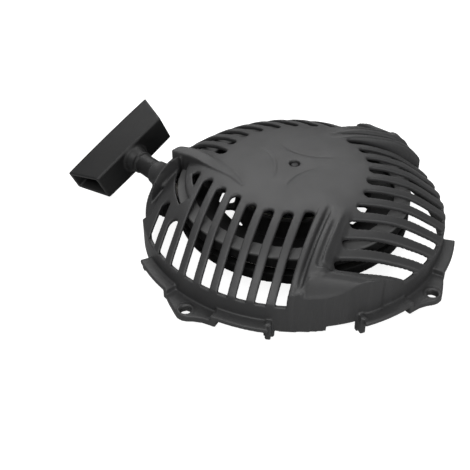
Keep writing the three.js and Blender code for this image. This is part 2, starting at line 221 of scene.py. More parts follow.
def thin_out(obj, ratio):
    modifier = obj.modifiers.new("thin", "DECIMATE")
    modifier.ratio = ratio
    return smooth(apply_modifiers(obj))


# ---- housing ----
def curve(table, value):
    """Smooth line through a short list of (position, height) pairs."""
    places, heights = np.array(table, float).T
    slopes = np.gradient(heights, places)
    i = np.clip(np.searchsorted(places, value) - 1, 0, len(places) - 2)
    gap = places[i + 1] - places[i]
    t = np.clip((value - places[i]) / gap, 0, 1)
    back = 1 - t
    line = (1 + 2 * t) * back ** 2 * heights[i] + t * back ** 2 * gap * slopes[i]
    return line + t * t * (3 - 2 * t) * heights[i + 1] - t * t * back * gap * slopes[i + 1]


def dome_table():
    """Distance to the plain dome with its upright skirt, over radius and height."""
    rows = np.arange(0, 160, 0.25, dtype=np.float32)
    heights = np.arange(-30, 70, 0.25, dtype=np.float32)
    edge = np.concatenate([np.linspace(0, 80, 50), np.linspace(80, SKIRT_R, 30)[1:]])
    outline = list(zip(edge, curve(DOME_LINE, edge))) + [(SKIRT_R, -60.0)]
    table = None
    for a, b in zip(outline, outline[1:]):
        d = segment(rows[:, None], heights[None, :], a, b)
        table = d if table is None else np.minimum(table, d)
    inside = (heights[None, :] < curve(DOME_LINE, rows)[:, None]) & (rows[:, None] < SKIRT_R)
    return np.where(inside, -table, table).astype(np.float32)


def look_up(table, r, z):
    row = np.minimum(r / 0.25, table.shape[0] - 1.001)
    column = np.clip((z + 30) / 0.25, 0, table.shape[1] - 1.001)
    i, j = row.astype(np.int32), column.astype(np.int32)
    a, b = (row - i).astype(np.float32), (column - j).astype(np.float32)
    low = table[i, j] * (1 - b) + table[i, j + 1] * b
    high = table[i + 1, j] * (1 - b) + table[i + 1, j + 1] * b
    return low * (1 - a) + high * a


def frame_at(x, y, angle):
    """Distances along a direction and along the one 90 degrees further round."""
    c, s = direction(angle)
    return x * c + y * s, y * c - x * s


def vent_outlines(x, y, r):
    fold = rad(VENT_DIR - FOLD_DIR)
    cut = np.full(r.shape, 99.0, np.float32)
    angle = np.degrees(np.arctan2(y, x)) % 360
    early = (181.5 - angle) * (58 * math.pi / 180)
    for turn in (0, 120, 240):
        u, w = frame_at(x, y, VENT_DIR + turn)
        for k in range(10):
            across = VENT_FIRST - VENT_PITCH * k
            if k < 5:
                start = math.sqrt(VENT_START ** 2 - across ** 2) + 0.6
            else:
                start = (DISC_R + across * math.sin(fold)) / math.cos(fold) + 0.6
            half = VENT_HALF if k < 9 else VENT_HALF + 0.5
            if turn == 0 and k == 9:
                continue
            if turn == 0 and k == 8:
                start = 40.3
            vent = segment(u, w, (start + half, across), (110, across)) - half
            if turn == 0 and k == 7:
                upper = np.maximum(np.maximum(vent, r - 61.5), early)
                lower = segment(u, w, (54.6 + half, across), (110, across)) - half
                vent = np.minimum(upper, lower)
            cut = np.minimum(cut, vent)
    arc = np.maximum(np.abs(r - 69.2) - 2.9, np.abs(angle - 185.5) * (69.0 * math.pi / 180) - 20.8)
    return cut, arc


def arm_frame(x, y, turn):
    """Distance along an arm, distance across it from its raised edge, and the line of its lip."""
    t, s = frame_at(x, y, ARM_DIR + turn)
    u, out = frame_at(x, y, ARM_DIR + turn + 122.6)
    lip = 87.2 + 0.06 * (u + 4) + 0.003 * np.maximum(u + 4, 0) ** 2
    return t, s - 0.035 * (t - 45), u, -out - np.minimum(lip, 91)


def lift(x, y, r, inset):
    """How far the two plain arms, and the shoulder inside their lips, stand above the dome."""
    rise = np.zeros(r.shape, np.float32)
    base = curve(DOME_LINE, r)
    for turn in (0, 120):
        t, s, u, past = arm_frame(x, y, turn)
        spread = 48 + 8 * ramp(t, 60, 76)
        band = ramp(s, 27.0 + inset, 28.8 + inset) * (1 - ramp(s, 41 - inset, spread - inset))
        arm = np.maximum(curve(ARM_LINE, t) - base, 0) * band * ramp(t, 22, 40)
        shoulder = np.maximum(curve(SHOULDER_LINE, u) - base, 0) * ramp(past, -14, -3) * ramp(s, 30, 38)
        end = 1 - ramp(past, 0.4 - inset, 8.5 - inset) * ramp(s, 34.5, 37)
        rise += np.maximum(arm, shoulder) * end
    return rise


def relief(x, y, r):
    """How far the outside stands proud of the lifted dome."""
    height = np.zeros(r.shape, np.float32)
    for turn in (0, 120):
        t, s, u, past = arm_frame(x, y, turn)
        inner = 1 - ramp(past, -8, -3)
        reach = ramp(t, 27, 42) * (1 - ramp(t, 86, 90))
        height += 0.6 * reach * ramp(s, 27.4, 28.6) * (1 - ramp(s, 30.8, 32.4))
        height -= 1.7 * reach * hump(s, 33.6, 2.0) * (1 - ramp(t, 80, 86))
        corner = smin(s - 35.0, -past, 4.0)
        fine = ramp(t, 36, 48) * (1 - ramp(u, 24, 44))
        height += 0.7 * fine * ramp(corner, -0.6, 0.8) * (1 - ramp(corner, 2.6, 3.8))
        height -= 0.7 * fine * hump(corner, 4.8, 1.5)
        height -= 0.6 * ramp(t, 30, 40) * hump(s, 43.8, 1.5) * inner
    for turn in (0, 120, 240):
        cx, cy = direction(307.1 + turn)
        ring = np.hypot(x - 41.4 * cx, y - 41.4 * cy) - 30.0
        px, py = direction(300 + turn)
        away = np.hypot(x - 16.5 * px, y - 16.5 * py)
        fade = 1 - ramp(away, 9, 20)
        height -= 0.42 * hump(ring, 0.0, 1.3) * fade * (r < 34)
        height -= 0.25 * ramp(-ring, 0, 1.2) * (1 - ramp(-ring, 1.2, 7)) * fade * (r < 34)
    return height


def fender_field(x, y, r, z):
    """Where the skirt stands upright above the foot of the dome, beside two of the arms."""
    angle = np.degrees(np.arctan2(y, x)) % 360
    top = np.full(r.shape, -40.0, np.float32)
    for turn in (0, 120):
        around = (angle - turn) % 360
        rise = ramp(around, 268.0, 270.0) * (1 - ramp(around, 294, 313))
        top = np.maximum(top, np.where(rise > 0.001, 15.5 + 8.9 * rise, -40))
    return smax(r - SKIRT_R, z - top, 2.4)


HOOD_UPPER = ((-6, 38), (8, 34.5), (12, 33.5), (18.6, 32.6), (25, 32.2), (31.5, 31.9), (37, 31.6),
              (44.4, 32.1), (48.7, 32.9), (52.5, 34.3), (56, 36.1), (59.5, 38.7), (63, 42))
HOOD_LOWER = ((-6, 37.8), (10.6, 37.8), (15, 38.1), (23, 39.3), (31, 40.2), (37.5, 40.7), (43.7, 41.3),
              (49.6, 42.9), (55, 45), (60.5, 48))
HOOD_CREST = ((-6, 49.4), (8, 49.0), (18.6, 48.8), (25, 48.5), (31.5, 48), (37, 47.4), (44, 47.1), (63, 47))
HOOD_BROW = ((-6, 49.3), (6, 48.8), (15, 48.5), (23, 47.9), (31, 47.1), (37.5, 46.4), (44, 46.1), (63, 46))


def along(table, value):
    return np.interp(value, *zip(*table)).astype(np.float32)


def hood_field(x, y, z, inset):
    t, s = frame_at(x, y, ARM_DIR - 120)
    upper, lower = along(HOOD_UPPER, t), along(HOOD_LOWER, t)
    share = np.clip((s - upper) / np.maximum(lower - upper, 1), -0.5, 1.5)
    roof = along(HOOD_CREST, t) * (1 - share) + along(HOOD_BROW, t) * share
    floor = np.interp(t, [-10, 4, 62], [46, 40, 14]).astype(np.float32)
    block = smax(upper + inset - s, z - roof + inset, 3.4 if inset == 0 else 1.0)
    block = smax(block, s - lower + inset, 0.7)
    block = smax(block, t - 61.8 + inset, 1.4)
    return np.maximum(np.maximum(block, floor - z), 2 - t)


def nozzle_field(x, y, z):
    """Concave trumpet around the rope outlet; also the distances along and off the rope's line."""
    c, s = direction(EXIT_DIR)
    along = (x - NOZZLE_TIP[0]) * c + (y - NOZZLE_TIP[1]) * s
    across = (y - NOZZLE_TIP[1]) * c - (x - NOZZLE_TIP[0]) * s
    off = np.hypot(across, z - ROPE_Z)
    radius = 7.8 + 9.6 * np.clip(-along / 18.0, 0, 1.3) ** 2.1
    body = np.maximum(off - radius.astype(np.float32), along)
    return np.maximum(body, -22 - along), along, off


EAR_EDGE = ((33.8, 101.2), (37.5, 101.8), (40, 103.6), (42, 106.0), (43.4, 107.0), (45, 107.1),
            (47, 105.6), (51, 102.6), (54, 100.5))


def flange_field(x, y, z, r):
    angle = np.degrees(np.arctan2(y, x)) % 360
    parts = None

    def join(part):
        nonlocal parts
        parts = part if parts is None else np.minimum(parts, part)

    def arc_band(r0, r1, start, end, middle):
        off = np.abs((angle - middle + 180) % 360 - 180)
        along = (off - (start + end) / 2) * (r0 * math.pi / 180)
        half = (end - start) / 2 * (r0 * math.pi / 180)
        return np.maximum(between(r, r0, r1), np.abs(along) - half)

    for middle in (FLANGE_MID, FLANGE_MID + 180):
        for side in (-1, 1):
            outline = [tuple(q * v for v in direction(middle + side * a)) for a, q in EAR_EDGE]
            outline += [tuple(89.5 * v for v in direction(middle + side * a)) for a in (54, 47, 40, 33.8)]
            plate = polygon(x, y, outline)
            join(slab(plate, z, 0, 4.4, 0.9))
            hole = direction(middle + side * 44)
            boss = np.hypot(x - BOLT_R * hole[0], y - BOLT_R * hole[1]) - 4.9
            join(slab(boss, z, 0, 5.2, 0.7))
    front = FLANGE_MID
    join(slab(arc_band(89.5, 100.5, 53.6, 72, front), z, 5.4, 8.2, 0.9))
    join(slab(arc_band(89.5, 100.5, 53.6, 55.4, front), z, 0, 8.2, 0.9))
    join(slab(arc_band(97.2, 99.6, 69.6, 71.6, front), z, 1.4, 6.5, 0.7))
    join(slab(arc_band(89.5, 100.9, 15.6, 34.6, front), z, 4.6, 7.6, 0.9))
    join(slab(arc_band(89.5, 101.2, 33.0, 34.8, front), z, 0, 7.6, 0.7))
    join(slab(arc_band(89.5, 97.4, 14.9, 16.9, front), z, -3.5, 8.6, 0.8))
    return parts


def housing_mesh():
    step = 0.66
    axes, x, y, z = grid((-101, -109, -5.2), (109, 109, 52.4), step)
    r = np.hypot(x, y)
    table = dome_table()
    dome = look_up(table, r, z - lift(x, y, r, 0.0).astype(np.float32))
    under = look_up(table, r, z - lift(x, y, r, 2.6).astype(np.float32))
    # outside form before the fine relief
    c, s = direction(163.4)
    beyond = 75.0 - (x * c + y * s)
    u, w = frame_at(x, y, VENT_DIR)
    beyond = np.maximum(beyond, between(u, -14, 46))
    cut = np.maximum(beyond, -(dome + 2.0))
    fender = fender_field(x, y, r, z)
    hood = hood_field(x, y, z, 0.0)
    under = np.maximum(under, -np.maximum(beyond, -(under + 2.0)))
    under = np.minimum(np.minimum(under, fender), hood)
    outer = smax(dome, -cut, 0.9)
    outer = np.maximum(smin(outer, fender, 3.0), r - SKIRT_R)
    outer = smin(outer, hood, 1.0)
    form = relief(x, y, r)
    inner = under - np.minimum(form, 0) + WALL
    shell = outer - form
    # narrow raised edge along the corner of the rope outlet
    edge = np.maximum(np.abs(75.2 - (x * c + y * s)) - 0.5, np.abs(dome - 0.1) - 0.5)
    edge = np.maximum(edge, between(u, -13, 26))
    shell = smin(shell, edge, 0.9)
    shell = smax(shell, -inner, 0.7)
    # vents
    vents, arc = vent_outlines(x, y, r)
    shell = smax(shell, -np.maximum(vents, VENT_FOOT - z), 0.7)
    shell = smax(shell, -np.maximum(arc, 28 - z), 0.9)
    shell = smin(shell, np.maximum(hood, -(hood + WALL)), 0.6)
    # guard rib behind the vents of the rear sector
    angle = np.degrees(np.arctan2(y, x)) % 360
    guard = np.maximum(between(r, 79.4, 81.6), between(angle, 96, 158) * 1.4)
    guard = np.maximum(np.maximum(guard, outer + 3.2), 22 - z)
    shell = smin(shell, guard, 0.5)
    # trumpet of the rope outlet
    body, along, off = nozzle_field(x, y, z)
    body = np.maximum(body, 71.8 - r)
    shell = smin(shell, body, 2.2)
    # flange with ears
    shell = smin(shell, np.maximum(flange_field(x, y, z, r), 90.7 - r), 1.0)
    # underside of the skirt with its step
    raised = np.maximum(between(angle, 283.2, 294.2) * 1.6, z - 2.8)
    raised = np.maximum(raised, np.abs(r - 92) - 6)
    shell = smax(shell, -raised, 0.6)
    flat = np.where(r > 88.5, -z, -z - 4)
    feet = np.abs((angle - FLANGE_MID + 180) % 360 - 180)
    shell = np.maximum(shell, np.where((feet > 14) & (feet < 18) & (r > 90), -5 - z, -z))
    # centre post, collar and webs under the roof
    post = slab(r - POST_R, z, 12.5, 48.4, 0.5)
    post = np.minimum(post, slab(r - 11, z, 21.6, 48, 0.5))
    post = np.minimum(post, slab(np.abs(r - 15.1) - 1.1, z, 42, 47.6, 0.5))
    for i in range(6):
        a, b = frame_at(x, y, 60 * i)
        post = np.minimum(post, slab(np.maximum(between(a, 9, 15), np.abs(b) - 0.9), z, 43, 47.8, 0.4))
    shell = smin(shell, post, 0.8)
    notch = polygon(x, y, [(8.6, -2), (12, -3.6), (12, 1.2), (8.6, 1.2)])
    shell = np.maximum(shell, -np.maximum(notch, between(z, 21, 33.4)))
    shell = np.maximum(shell, -np.maximum(r - 2.7, between(z, 10, 48.2)))
    shell = smax(shell, -np.maximum(r - 3.3, 47.7 - z), 0.5)
    # rope bore, seat of the bush, ear holes
    shell = np.maximum(shell, -np.maximum(off - 6.3, between(along, -24, -6.6)))
    shell = np.maximum(shell, -np.maximum(off - 3.4, between(along, -8, 1)))
    shell = np.maximum(shell, -np.maximum(off - 8.2, between(along, 0, 24)))
    for a in BOLT_ANGLES:
        px, py = direction(a)
        d = np.hypot(x - BOLT_R * px, y - BOLT_R * py)
        shell = smax(shell, -np.maximum(d - 3.2, z - 9), 0.5)
        shell = smax(shell, -np.maximum(d - 4.1, 4.7 - z), 0.4)
    return from_field("housing_shell", axes, shell, 185000)


# ---- pull handle: rope along +X, bar along Y, its inner face at x = 0 ----
def on_grip(obj):
    c, s = direction(EXIT_DIR)
    turn = Matrix.Rotation(rad(EXIT_DIR), 4, "Z") @ Matrix.Rotation(rad(GRIP_ROLL), 4, "X")
    place = Vector(((NOZZLE_TIP[0] + GRIP_REACH * c) * MM, (NOZZLE_TIP[1] + GRIP_REACH * s) * MM, ROPE_Z * MM))
    obj.data.transform(Matrix.Translation(place) @ turn)
    return obj


def bar_field(x, z, inset):
    outline = [(inset, -GRIP_IN / 2 + inset), (GRIP_DEPTH - inset, -GRIP_OUT / 2 + inset),
               (GRIP_DEPTH - inset, GRIP_OUT / 2 - inset), (inset, GRIP_IN / 2 - inset)]
    return polygon(x, z, outline)


def grip_mesh():
    step = 0.45
    axes, x, y, z = grid((-24, -38, -12), (28, 38, 12), step)
    corner = 1.2
    bar = bar_field(x, z, corner) - corner
    bulge = 0.5 * (1 - (y / 36.0) ** 2)
    bar = bar - bulge.astype(np.float32)
    half = GRIP_INNER / 2 + (GRIP_LENGTH - GRIP_INNER) / 2 * (x / GRIP_DEPTH)
    ends = (np.abs(y) - half) * 0.97
    body = smax(bar, ends + 0 * z, 0.8)
    inside = bar_field(x, z, GRIP_WALL + 0.8) - 0.8 - bulge.astype(np.float32)
    body = smax(body, -inside, 0.6)
    off = np.hypot(y, z)
    radius = np.interp(x.ravel(), [-23, -19.5, -8, -6, -3, 1], [7.1, 6.6, 6.5, 7.0, 8.4, 9.6])[:, None, None]
    stem = smax(off - radius.astype(np.float32), between(x, -GRIP_REACH + 0.3, 1.2), 0.9)
    body = smin(body, stem, 1.6)
    collar = smax(np.abs(off - 6.5) - 0.9, np.abs(x + 8.2) - 0.8, 0.8)
    body = smin(body, collar, 0.6)
    body = np.maximum(body, -np.maximum(off - 2.3, x - 5))
    return on_grip(from_field("grip_moulding", axes, body, 70000))


# ---- turned and swept pieces ----
def lathe(name, profile, segments=96):
    """A closed (radius, height) outline turned about Z."""
    n = len(profile)
    turns = 2 * np.pi * np.arange(segments) / segments
    r, z = np.array(profile, float).T
    ring = np.stack([np.cos(turns)[:, None] * r, np.sin(turns)[:, None] * r, np.tile(z, (segments, 1))], 2)
    i = np.arange(segments)[:, None]
    k = np.arange(n)[None, :]
    j, m = (i + 1) % segments, (k + 1) % n
    faces = np.stack([i * n + k, j * n + k, j * n + m, i * n + m], 2).reshape(-1, 4)
    return smooth(mesh_object(name, ring.reshape(-1, 3), faces))


def rounded_ring(name, inner, outer, low, high, edge=0.22):
    """A washer with rounded edges."""
    profile = []
    for r, z, start in ((outer - edge, low + edge, -90), (outer - edge, high - edge, 0),
                        (inner + edge, high - edge, 90), (inner + edge, low + edge, 180)):
        for step in range(4):
            c, s = direction(start + 30 * step)
            profile.append((r + edge * c, z + edge * s))
    return lathe(name, profile)


def sweep(name, points, outline, closed_ends=True):
    """Outlines (one for all, or one for each point) carried along a line; first outline axis is level."""
    points = np.asarray(points, float)
    tangent = np.gradient(points, axis=0)
    tangent /= np.linalg.norm(tangent, axis=1)[:, None]
    side = np.cross((0, 0, 1.0), tangent)
    side /= np.linalg.norm(side, axis=1)[:, None]
    top = np.cross(tangent, side)
    outline = np.broadcast_to(outline, (len(points),) + np.shape(outline)[-2:])
    ring = points[:, None] + outline[:, :, :1] * side[:, None] + outline[:, :, 1:] * top[:, None]
    sides = outline.shape[1]
    faces = []
    for i in range(len(points) - 1):
        for k in range(sides):
            m = (k + 1) % sides
            faces.append((i * sides + k, i * sides + m, (i + 1) * sides + m, (i + 1) * sides + k))
    faces.append(tuple(range(sides))[::-1])
    faces.append(tuple((len(points) - 1) * sides + k for k in range(sides)))
    return smooth(mesh_object(name, ring.reshape(-1, 3), faces))


def wire(name, points, radius, sides=12):
    a = 2 * np.pi * np.arange(sides) / sides
    return sweep(name, points, np.stack([np.cos(a), np.sin(a)], 1) * radius)


def rope(name, points, sides=14):
    """Round rope whose surface carries two crossing sets of strands."""
    points = np.asarray(points, float)
    run = np.concatenate([[0], np.cumsum(np.linalg.norm(np.diff(points, axis=0), axis=1))])
    a = 2 * np.pi * np.arange(sides) / sides
    phase = run[:, None] * (2 * np.pi / 9.0)
    weave = np.maximum(np.cos(7 * a + phase), np.cos(7 * a - phase))
    radius = ROPE_R * (0.97 + 0.05 * weave)
    radius[0] *= 0.8
    radius[-1] *= 0.8
    return sweep(name, points, radius[:, :, None] * np.stack([np.cos(a), np.sin(a)], 1))


def even(points, gap):
    """Points spaced evenly along a polyline."""
    points = np.asarray(points, float)
    run = np.concatenate([[0], np.cumsum(np.linalg.norm(np.diff(points, axis=0), axis=1))])
    at = np.linspace(0, run[-1], int(run[-1] / gap) + 2)
    return np.stack([np.interp(at, run, points[:, k]) for k in range(3)], 1)


def place_on_rope(obj):
    turn = Matrix.Rotation(rad(EXIT_DIR), 4, "Z") @ Matrix.Rotation(rad(90), 4, "Y")
    place = Vector((NOZZLE_TIP[0] * MM, NOZZLE_TIP[1] * MM, ROPE_Z * MM))
    obj.data.transform(Matrix.Translation(place) @ turn)
    return obj


def from_field(name, axes, field, most=60000):
    vertices, quads = surface(axes, field)
    obj = mesh_object(name, vertices, quads)
    if len(quads) * 2 > most:
        thin_out(obj, most / (len(quads) * 2))
    print(name, len(quads) * 2)
    return smooth(obj)


# ---- pulley, spring and rope ----
PULLEY_RIM = [(46.6, 17), (61, 17), (61, 15.5), (70.8, 15.5), (70.8, 22.1), (49, 22.1), (49, 26.7),
              (70.8, 26.7), (70.8, 34.3), (61, 34.3), (61, 29.2), (46.6, 29.2)]
PULLEY_WEB = [(8.3, 12.8), (33.6, 12.8), (35.6, 17), (47.6, 17), (47.6, 20), (35.6, 20), (35.6, 33),
              (33.6, 33), (33.6, 20), (8.3, 20)]


def pulley_mesh():
    axes, x, y, z = grid((-72, -72, 7.6), (72, 72, 35.2), 0.62)
    r = np.hypot(x, y)
    rows = np.arange(0, 106, 0.25, dtype=np.float32)[:, None]
    table = np.minimum(polygon(rows, z[0], PULLEY_RIM), polygon(rows, z[0], PULLEY_WEB))
    place = r[:, :, 0] / 0.25
    row = place.astype(np.int32)
    share = (place - row)[:, :, None].astype(np.float32)
    body = table[row] * (1 - share) + table[row + 1] * share
    angle = np.degrees(np.arctan2(y, x)) % 36
    window = smax(between(r, 36.4, 46), (np.abs(angle - 24) - 14.5) * 0.72, 3.0)
    window = np.minimum(window, smax(between(r, 36.4, 46), (np.abs(angle + 12) - 14.5) * 0.72, 3.0))
    body = smax(body, -np.maximum(window, z - 21), 0.7)
    for side in (-1, 1):
        body = smin(body, slab(np.hypot(x - 20 * side, y) - 2.5, z, 8.4, 14, 0.5), 0.6)
    t, s = frame_at(x, y, 58)
    hole = np.maximum(np.hypot(s, z - ROPE_Z) - 2.3, between(t, 40, 52))
    return from_field("pulley_moulding", axes, np.maximum(body, -hole), 150000)


def spring_mesh():
    turns = 9
    share = np.linspace(0, 1, turns * 44)
    angle = -2 * np.pi * turns * share
    radius = 12.3 + 19.2 * share
    coil = np.stack([radius * np.cos(angle), radius * np.sin(angle), np.full_like(angle, 27.3)], 1)
    points = np.concatenate([[[9.4, 0.2, 27.3], [10.6, 0.15, 27.3], [11.4, 0.1, 27.3]], coil[2:],
                             [[32.3, -0.05, 27.3], [33, -0.1, 27.3]]])
    strip = [(-0.3, -5.05), (-0.18, -5.2), (0.18, -5.2), (0.3, -5.05), (0.3, 5.05), (0.18, 5.2),
             (-0.18, 5.2), (-0.3, 5.05)]
    return sweep("spring_strip", points, np.array(strip))


def coil_mesh():
    share = np.linspace(0, 1, 1500)
    angle = np.radians(202 + 360 * 3.6 * (1 - share))
    radius = 51.6 + 14.4 * share
    points = np.stack([radius * np.cos(angle), radius * np.sin(angle), np.full_like(angle, ROPE_Z)], 1)
    return rope("rope_winding", points)


def strand_mesh():
    c, s = direction(EXIT_DIR)
    start = np.array([66 * math.cos(rad(201.4)), 66 * math.sin(rad(201.4)), ROPE_Z])

    def line(t):
        return np.array([NOZZLE_TIP[0] + c * t, NOZZLE_TIP[1] + s * t, ROPE_Z])

    mouth, inner = line(-14.0), line(-18.5)
    bend = []
    for t in np.linspace(0, 1, 9):
        bend.append((1 - t) ** 2 * (inner + (start - inner) * 0.12) + 2 * t * (1 - t) * inner + t * t * mouth)
    return rope("rope_run", even([start] + bend + [line(GRIP_REACH + 4.4)], 0.7))


def knot_mesh(name, radius):
    """Three loops of rope drawn tight round the rope, about the origin with the rope along X."""
    reach = radius + 1.6
    axes, x, y, z = grid((-reach,) * 3, (reach,) * 3, 0.22)
    knot = None
    wrap = radius - 1.5
    for tilt, turn in ((20, 0), (-25, 60), (65, 130)):
        nx, ny, nz = math.cos(rad(tilt)), math.sin(rad(tilt)) * math.cos(rad(turn)), \
            math.sin(rad(tilt)) * math.sin(rad(turn))
        height = x * nx + y * ny + z * nz
        flat = np.sqrt(np.maximum(x * x + y * y + z * z - height * height, 0))
        loop = np.hypot(flat - wrap, height) - 1.55
        knot = loop if knot is None else smin(knot, loop, 0.35)
    core = np.sqrt(x * x + y * y + z * z) - wrap
    return from_field(name, axes, np.minimum(knot, core), 12000)


def pulley_knot():
    knot = knot_mesh("rope_knot_inner", 3.6)
    knot.data.transform(Matrix.Translation((42.0 * MM, 0, 0)))
    tail = wire("knot_tail", [(43.5 + 0.65 * i, 0, 0) for i in range(9)], ROPE_R)
    join([knot, tail])
    knot.data.transform(Matrix.Translation((0, 0, ROPE_Z * MM)) @ Matrix.Rotation(rad(58), 4, "Z"))
    return knot


def join(parts):
    with bpy.context.temp_override(active_object=parts[0], selected_editable_objects=parts):
        bpy.ops.object.join()
    return parts[0]


# ---- pawl drive and screw ----
def pawl_mesh(name, turn):
    axes, x, y, z = grid((11, -23.4, 5.2), (26, 6, 11.9), 0.28)
    outline = [(20 + 4.4 * c, 4.4 * s) for c, s in (direction(10 + 11 * i) for i in range(17))]
    outline += [(14.8, -4), (15, -14), (15.4, -21.4), (19.6, -20.4), (22.6, -12), (24.6, -3)]
    body = slab(polygon(x, y, outline), z, 8.4, 11.1, 0.5)
    body = smax(body, -(np.hypot(x - 20, y) - 2.8), 0.3)
    body = smin(body, slab(np.hypot(x - 19, y + 11) - 1.3, z, 5.8, 9, 0.4), 0.5)
    obj = from_field(name, axes, body, 20000)
    obj.data.transform(Matrix.Rotation(rad(turn), 4, "Z"))
    return obj


def pawl_spring(name, turn):
    points = []
    for i in range(41):
        c, s = direction(60 + 8 * i)
        points.append((20 + 3.4 * c, 3.4 * s, 11.7 + 0.5 * i / 40))
    last = points[-1]
    points += [(last[0] + 2.5 * t, last[1] - 4 * t, 12.2) for t in (0.25, 0.5, 0.75, 1.0)]
    obj = wire(name, points, 0.3, 10)
    obj.data.transform(Matrix.Rotation(rad(turn), 4, "Z"))
    return obj


def guide_mesh():
    axes, x, y, z = grid((-30, -30, 4.8), (30, 30, 11.3), 0.42)
    r = np.hypot(x, y)
    lobe = 0.5 + 0.5 * np.cos(2 * (np.arctan2(y, x) + rad(30)))
    plate = slab((r - 15 - 14 * lobe ** 2) * 0.7, z, 5.5, 7.6, 0.6)
    plate = smin(plate, slab(r - 7.4, z, 5.5, 10.6, 0.5), 0.8)
    for turn in (0, 180):
        path = []
        for i in range(11):
            c, s = direction(3 * i)
            px, py = 20 - c + 11 * s, -s - 11 * c
            c, s = direction(turn - 2.4 * i)
            path.append((px * c - py * s, px * s + py * c))
        groove = np.minimum.reduce([segment(x, y, a, b) for a, b in zip(path, path[1:])]) - 1.9
        plate = smax(plate, -groove, 0.5)
    return from_field("guide_moulding", axes, smax(plate, 3 - r, 0.4), 60000)


def brake_wire():
    points = [(8.4 * c, 8.4 * s, 9.1) for c, s in (direction(100 + 5.2 * i) for i in range(61))]
    c, s = direction(60)
    last = np.array(points[-1])
    end = np.array((12.2 * c, 12.2 * s, 9.1))
    points += [tuple(last + (end - last) * t) for t in (0.2, 0.4, 0.6, 0.8, 1.0)]
    return wire("brake_wire", points, 0.6)


def screw_mesh():
    axes, x, y, z = grid((-7, -7, -0.6), (7, 7, 49.6), 0.3)
    r = np.hypot(x, y)
    flats = np.maximum.reduce([np.abs(x * c + y * s) for c, s in (direction(30 + 60 * i) for i in range(3))])
    head = slab(flats - 4.85, z, 0, 3.2, 0.3)
    head = smax(head, r - 5.2 - z * 0.6, 0.3)
    head = smax(head, -np.maximum(r - 3.2, z - 0.35), 0.4)
    head = smin(head, slab(r - 6.6, z, 2.4, 3.8, 0.5), 0.4)
    turn = np.arctan2(y, x)
    thread = 0.16 * np.cos(turn - 2 * np.pi * z / 1.0) * ramp(z, 12, 15)
    shank = slab(r - 2.24 - thread, z, 3.4, 49, 0.5)
    return from_field("flange_screw", axes, smin(head, shank, 0.4), 50000)


# ---- materials ----
def node_material(name):
    material = bpy.data.materials.new(name)
    material.use_nodes = True
    nodes, links = material.node_tree.nodes, material.node_tree.links
    shader = nodes["Principled BSDF"]
    place = nodes.new("ShaderNodeTexCoord").outputs["Object"]

    def noise(scale, detail=4.0, rough=0.5):
        texture = nodes.new("ShaderNodeTexNoise")
        texture.inputs["Scale"].default_value = scale
        texture.inputs["Detail"].default_value = detail
        texture.inputs["Roughness"].default_value = rough
        links.new(place, texture.inputs["Vector"])
        return texture.outputs["Fac"]

    def spread(value, low, high):
        ramp_node = nodes.new("ShaderNodeMapRange")
        ramp_node.inputs["From Min"].default_value = 0.3
        ramp_node.inputs["From Max"].default_value = 0.7
        ramp_node.inputs["To Min"].default_value = low
        ramp_node.inputs["To Max"].default_value = high
        links.new(value, ramp_node.inputs["Value"])
        return ramp_node.outputs["Result"]

    return material, nodes, links, shader, place, noise, spread


def mix_colour(nodes, links, factor, one, two):
    mix = nodes.new("ShaderNodeMix")
    mix.data_type = "RGBA"
    links.new(factor, mix.inputs["Factor"])
    for key, value in ((6, one), (7, two)):
        if isinstance(value, tuple):
            mix.inputs[key].default_value = (*value, 1)
        else:
            links.new(value, mix.inputs[key])
    return mix.outputs[2]


def moulded_plastic(name, dark, light, rough=(0.5, 0.56), grain=0.5, shine=0.5):
    material, nodes, links, shader, place, noise, spread = node_material(name)
    cloud = spread(noise(38, 3), 0.0, 1.0)
    base = mix_colour(nodes, links, cloud, dark, light)
    # convex edges, found by pointiness, are mixed up to 35% towards a colour about twice as pale
    geometry = nodes.new("ShaderNodeNewGeometry")
    edge = nodes.new("ShaderNodeMapRange")
    edge.inputs["From Min"].default_value = 0.505
    edge.inputs["From Max"].default_value = 0.6
    edge.inputs["To Max"].default_value = 0.35
    links.new(geometry.outputs["Pointiness"], edge.inputs["Value"])
    paler_edge_colour = tuple(min(1.0, 2.1 * v + 0.01) for v in light)
    base = mix_colour(nodes, links, edge.outputs["Result"], base, paler_edge_colour)
    links.new(base, shader.inputs["Base Color"])
    links.new(spread(noise(90, 5), *rough), shader.inputs["Roughness"])
    bump = nodes.new("ShaderNodeBump")
    bump.inputs["Strength"].default_value = grain
    bump.inputs["Distance"].default_value = 0.00012
    links.new(noise(2600, 3, 0.6), bump.inputs["Height"])
    wave = nodes.new("ShaderNodeBump")
    wave.inputs["Strength"].default_value = 0.05
    wave.inputs["Distance"].default_value = 0.0006
    links.new(noise(46, 2), wave.inputs["Height"])
    links.new(wave.outputs["Normal"], bump.inputs["Normal"])
    links.new(bump.outputs["Normal"], shader.inputs["Normal"])
    shader.inputs["Specular IOR Level"].default_value = shine
    return material


def painted_light_above(material, height, light):
    """A paler band on everything of a piece above a height: painted light on its lit top."""
    nodes, links = material.node_tree.nodes, material.node_tree.links
    shader = nodes["Principled BSDF"]
    split = nodes.new("ShaderNodeSeparateXYZ")
    links.new(nodes.new("ShaderNodeTexCoord").outputs["Object"], split.inputs[0])
    rise = nodes.new("ShaderNodeMapRange")
    rise.inputs["From Min"].default_value = (height - 0.6) * MM
    rise.inputs["From Max"].default_value = (height + 0.6) * MM
    links.new(split.outputs["Z"], rise.inputs["Value"])
    base = shader.inputs["Base Color"].links[0].from_socket
    links.new(mix_colour(nodes, links, rise.outputs["Result"], base, light), shader.inputs["Base Color"])


